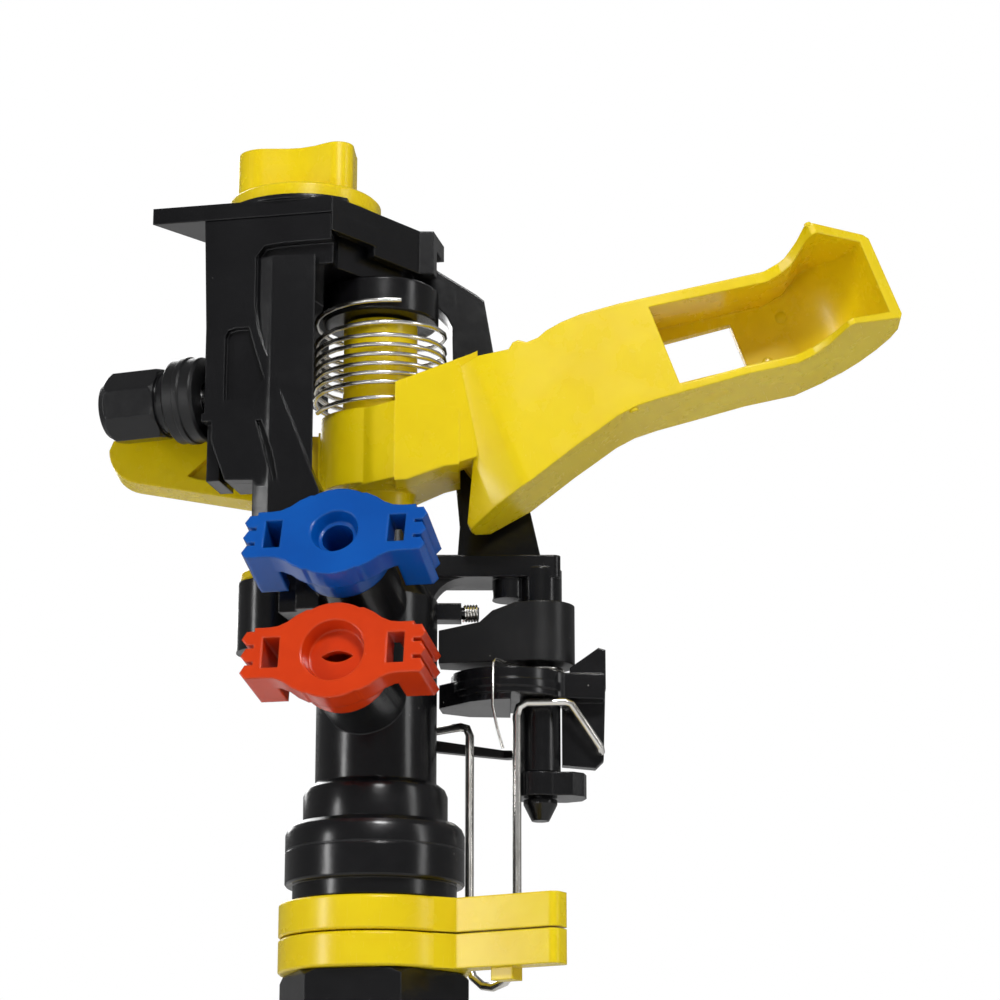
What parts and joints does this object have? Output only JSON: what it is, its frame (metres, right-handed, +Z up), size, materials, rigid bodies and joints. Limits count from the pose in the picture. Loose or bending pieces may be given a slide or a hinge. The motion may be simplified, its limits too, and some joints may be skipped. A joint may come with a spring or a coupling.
{
  "type": "impact sprinkler head",
  "caption": "Part-circle impact sprinkler: threaded riser, swivel head, quick-release nozzles, spring-loaded hammer arm with deflector spoon, trip wire and arc collars",
  "frame": {"origin": "on the riser axis at the inlet end of the male thread", "axes": "+Z up the riser axis, -Y the direction the nozzles point, +X towards the trip tower"},
  "size_m": [0.1595, 0.0593, 0.192],
  "materials": {
    "black_plastic": "glossy black moulded",
    "matte_black": "satin black moulded",
    "yellow_plastic": "bright yellow moulded",
    "blue_plastic": "blue moulded",
    "orange_plastic": "orange-red moulded",
    "white_plastic": "natural bearing plastic",
    "spring_steel": "bright drawn wire",
    "pin_steel": "ground stainless",
    "seal_rubber": "black seal rubber"
  },
  "bodies": {
    "base": {"base_nut": "black_plastic"},
    "lower_stop": {"lower_collar": "yellow_plastic"},
    "upper_stop": {"upper_collar": "yellow_plastic"},
    "head": {"spindle_ring": "black_plastic", "slip_washer": "white_plastic", "thrust_seal": "seal_rubber", "bearing_spring": "spring_steel", "dust_sleeve": "black_plastic", "body": "black_plastic", "bridge": "black_plastic", "top_plate": "black_plastic", "upper_vane": "white_plastic", "lower_vane": "white_plastic", "port_plug": "yellow_plastic", "hammer_pin": "pin_steel", "hammer_washer": "white_plastic", "spring_cup": "black_plastic", "hammer_spring": "spring_steel", "adjuster_sleeve": "matte_black", "lever_spring": "spring_steel", "trip_pin": "black_plastic", "pin_retainer": "black_plastic"},
    "hammer_arm": {"hammer": "yellow_plastic"},
    "cap": {"top_cap": "yellow_plastic"},
    "upper_clip": {"upper_nozzle": "blue_plastic", "upper_seal": "seal_rubber"},
    "lower_clip": {"lower_nozzle": "orange_plastic", "lower_seal": "seal_rubber"},
    "trip": {"trip_lever": "black_plastic", "trip_wire": "spring_steel", "toggle_spring": "spring_steel"},
    "reverse": {"reverse_lever": "matte_black"},
    "stroke_adjuster": {"adjuster_knob": "black_plastic", "adjuster_screw": "pin_steel"}
  },
  "joints": [
    {"name": "head_swivel", "type": "hinge", "parent": "base", "child": "head", "pos_m": [0, 0, 0.035], "axis": [0, 0, 1], "range_deg": [0, 200]},
    {"name": "lower_collar_turn", "type": "hinge", "parent": "base", "child": "lower_stop", "pos_m": [0, 0, 0.0313], "axis": [0, 0, 1], "range_deg": [-60, 0]},
    {"name": "upper_collar_turn", "type": "hinge", "parent": "base", "child": "upper_stop", "pos_m": [0, 0, 0.038], "axis": [0, 0, 1], "range_deg": [-60, 0]},
    {"name": "hammer_swing", "type": "hinge", "parent": "head", "child": "hammer_arm", "pos_m": [0, 0, 0.137], "axis": [0, 0, 1], "range_deg": [-86, 0], "stiffness_Nm_per_rad": 0.03},
    {"name": "trip_swing", "type": "hinge", "parent": "head", "child": "trip", "pos_m": [0.02965, 0.01346, 0.085], "axis": [0, 0, 1], "range_deg": [-16, 0]},
    {"name": "reverse_swing", "type": "hinge", "parent": "head", "child": "reverse", "pos_m": [0.02965, 0.01346, 0.095], "axis": [0, 0, 1], "range_deg": [0, 9.7]},
    {"name": "cap_turn", "type": "hinge", "parent": "head", "child": "cap", "pos_m": [-0.0143, -0.0066, 0.18], "axis": [0, 0, 1], "range_deg": [-90, 90]},
    {"name": "upper_pull", "type": "slide", "parent": "head", "child": "upper_clip", "axis": [0, -0.9455, 0.3256], "range_m": [0, 0.01]},
    {"name": "lower_pull", "type": "slide", "parent": "head", "child": "lower_clip", "axis": [0, -0.9848, 0.1736], "range_m": [0, 0.01]},
    {"name": "adjuster_turn", "type": "hinge", "parent": "head", "child": "stroke_adjuster", "pos_m": [-0.0303, -0.0165, 0.1392], "axis": [-0.9903, 0.1392, 0], "range_deg": [-720, 720]}
  ],
  "couplings": [
    {"joint": "reverse_swing", "follows": "trip_swing", "ratio": -0.6}
  ]
}
